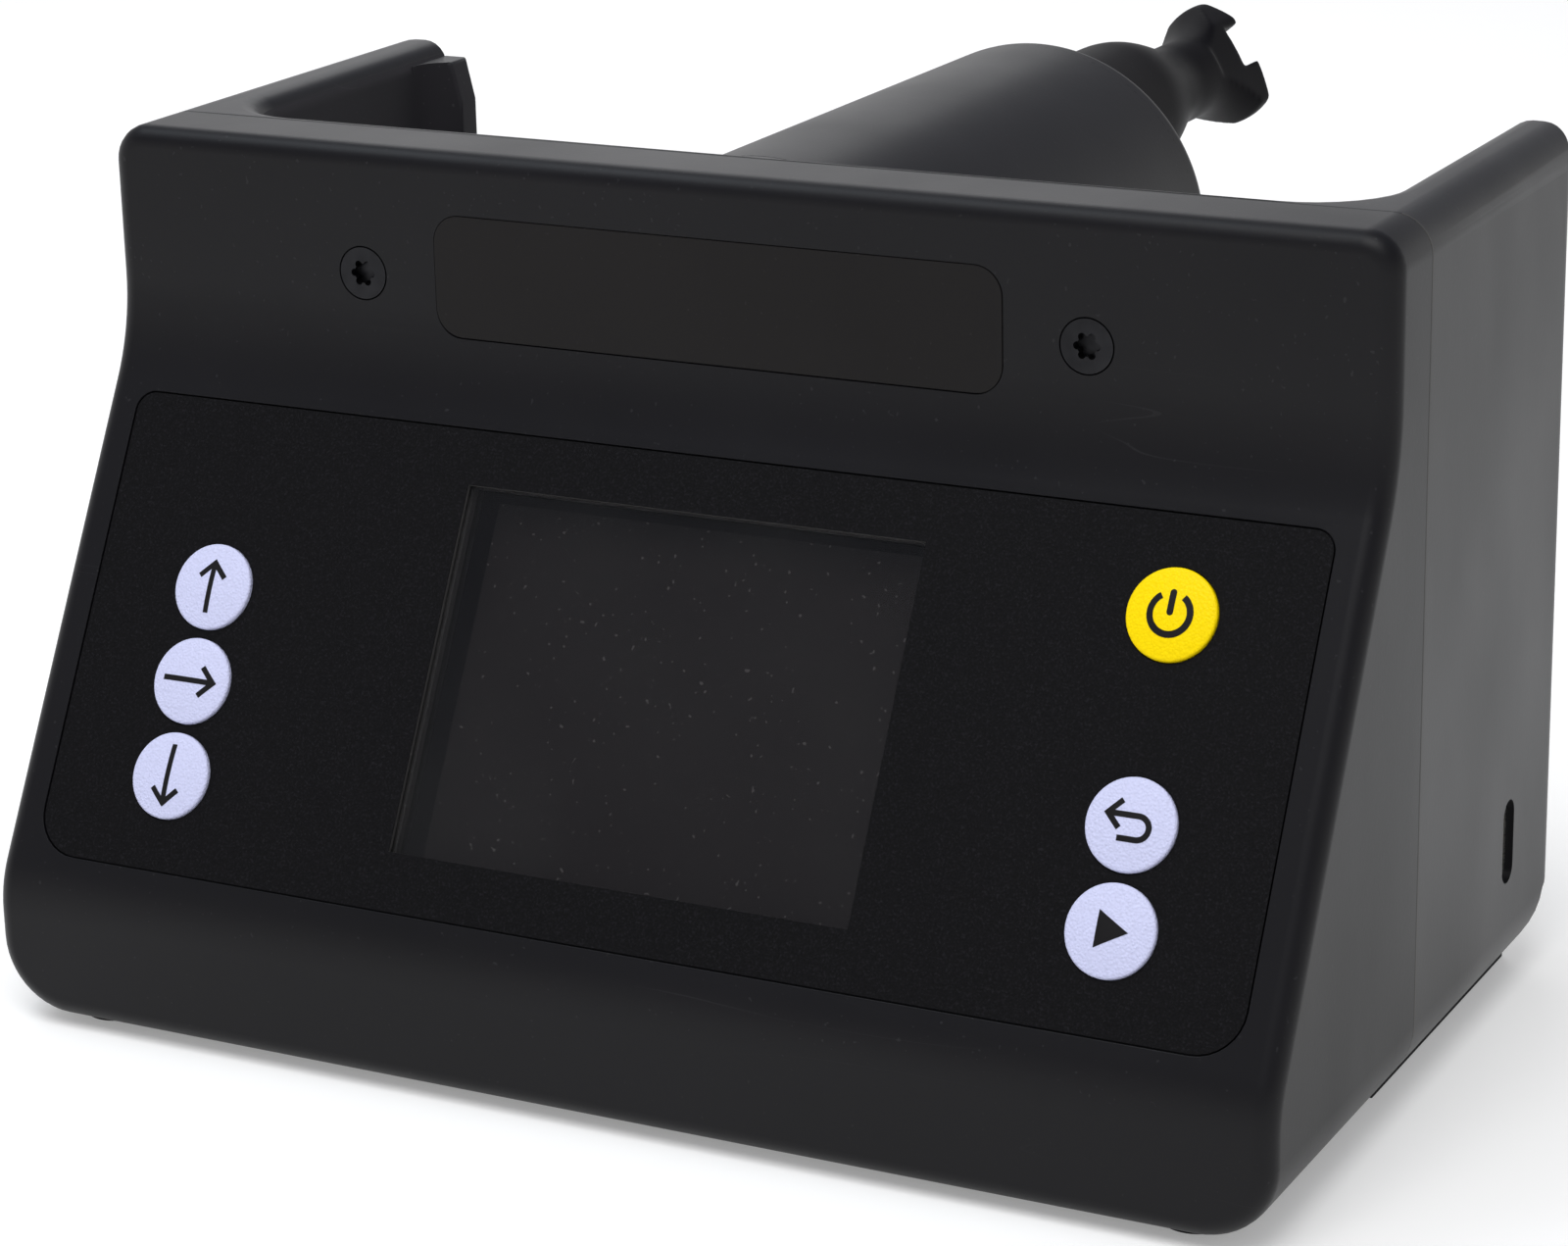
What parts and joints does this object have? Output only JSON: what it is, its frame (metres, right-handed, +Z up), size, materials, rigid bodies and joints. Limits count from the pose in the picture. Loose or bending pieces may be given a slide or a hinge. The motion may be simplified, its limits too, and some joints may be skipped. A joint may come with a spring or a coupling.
{
  "type": "automatic film processor",
  "caption": "Table-top film processor with a sloped keypad and display in front, a round cradle for a developing tank's lid behind, and a geared spindle that turns the reels.",
  "frame": {"origin": "on the table, below the middle of the bounding box", "axes": "+X to the right seen from the keypad, +Y from the keypad back along the spindle, +Z up"},
  "size_m": [0.145, 0.1688, 0.0915],
  "materials": {
    "satin_black": "satin moulded plastic",
    "base_black": "matt moulded plastic",
    "foot_rubber": "matt",
    "overlay_film": "fine-grained film",
    "plate_film": "satin film",
    "clear_pane": "clear, polished",
    "display_glass": "dark, unlit display",
    "frame_plastic": "matt",
    "board_green": "satin solder mask",
    "black_steel": "black oxide",
    "bright_steel": "zinc plated",
    "spring_steel": "nickel plated",
    "chip_black": "matt",
    "key_white": "fine-grained, printed",
    "key_yellow": "fine-grained, printed",
    "cell_wrap": "shrink wrap",
    "seal_rubber": "matt",
    "cast_alloy": "die cast",
    "bush_bronze": "sintered",
    "gear_brass": "machined",
    "magnet_grey": "sintered",
    "rotor_steel": "laminated",
    "spindle_black": "satin moulded plastic"
  },
  "bodies": {
    "housing": {"front_cover": "satin_black", "rear_housing": "satin_black", "base_plate": "base_black", "base_screws": "black_steel", "rubber_feet": "foot_rubber", "cover_screws": "black_steel", "name_plate": "plate_film", "keypad_overlay": "overlay_film", "display_pane": "clear_pane", "display_panel": "display_glass", "display_frame": "frame_plastic", "main_board": "board_green", "board_screws": "bright_steel", "key_switches": "chip_black", "board_chips": "chip_black", "buzzer": "chip_black", "battery_cell": "cell_wrap", "battery_holder": "chip_black", "battery_contacts": "spring_steel", "charging_socket": "spring_steel", "socket_board": "board_green", "drive_sleeve": "satin_black", "sleeve_screws": "bright_steel", "sleeve_cap": "satin_black", "cap_screws": "black_steel", "shaft_seal": "seal_rubber", "gearbox_case": "cast_alloy", "gearbox_plate": "cast_alloy", "output_bushes": "bush_bronze", "cluster_pin": "bright_steel", "motor_can": "bright_steel", "motor_end_bell": "chip_black", "motor_magnets": "magnet_grey", "motor_bushes": "bush_bronze", "motor_screws": "bright_steel"},
    "spindle": {"drive_spindle": "spindle_black", "output_shaft": "bright_steel", "output_gear": "gear_brass", "spindle_screw": "bright_steel"},
    "cluster": {"cluster_gear": "gear_brass"},
    "rotor": {"motor_rotor": "rotor_steel", "motor_shaft": "bright_steel", "motor_pinion": "gear_brass"},
    "up_key": {"up_button": "key_white"},
    "right_key": {"right_button": "key_white"},
    "down_key": {"down_button": "key_white"},
    "power_key": {"power_button": "key_yellow"},
    "back_key": {"back_button": "key_white"},
    "start_key": {"start_button": "key_white"}
  },
  "joints": [
    {"name": "spindle_spin", "type": "hinge", "parent": "housing", "child": "spindle", "pos_m": [0, 0.02779, 0.0789], "axis": [0, 1, 0], "continuous": true},
    {"name": "cluster_spin", "type": "hinge", "parent": "housing", "child": "cluster", "pos_m": [0.00802, 0.01779, 0.07381], "axis": [0, 1, 0], "continuous": true},
    {"name": "rotor_spin", "type": "hinge", "parent": "housing", "child": "rotor", "pos_m": [0, -0.00221, 0.0702], "axis": [0, 1, 0], "continuous": true},
    {"name": "up_press", "type": "slide", "parent": "housing", "child": "up_key", "axis": [0, 0.8771, -0.4802], "range_m": [0, 0.0005], "stiffness_N_per_m": 2000},
    {"name": "right_press", "type": "slide", "parent": "housing", "child": "right_key", "axis": [0, 0.8771, -0.4802], "range_m": [0, 0.0005], "stiffness_N_per_m": 2000},
    {"name": "down_press", "type": "slide", "parent": "housing", "child": "down_key", "axis": [0, 0.8771, -0.4802], "range_m": [0, 0.0005], "stiffness_N_per_m": 2000},
    {"name": "power_press", "type": "slide", "parent": "housing", "child": "power_key", "axis": [0, 0.8771, -0.4802], "range_m": [0, 0.0005], "stiffness_N_per_m": 2000},
    {"name": "back_press", "type": "slide", "parent": "housing", "child": "back_key", "axis": [0, 0.8771, -0.4802], "range_m": [0, 0.0005], "stiffness_N_per_m": 2000},
    {"name": "start_press", "type": "slide", "parent": "housing", "child": "start_key", "axis": [0, 0.8771, -0.4802], "range_m": [0, 0.0005], "stiffness_N_per_m": 2000}
  ],
  "couplings": [
    {"joint": "cluster_spin", "follows": "spindle_spin", "ratio": -2.1667},
    {"joint": "rotor_spin", "follows": "spindle_spin", "ratio": 5.7778}
  ]
}
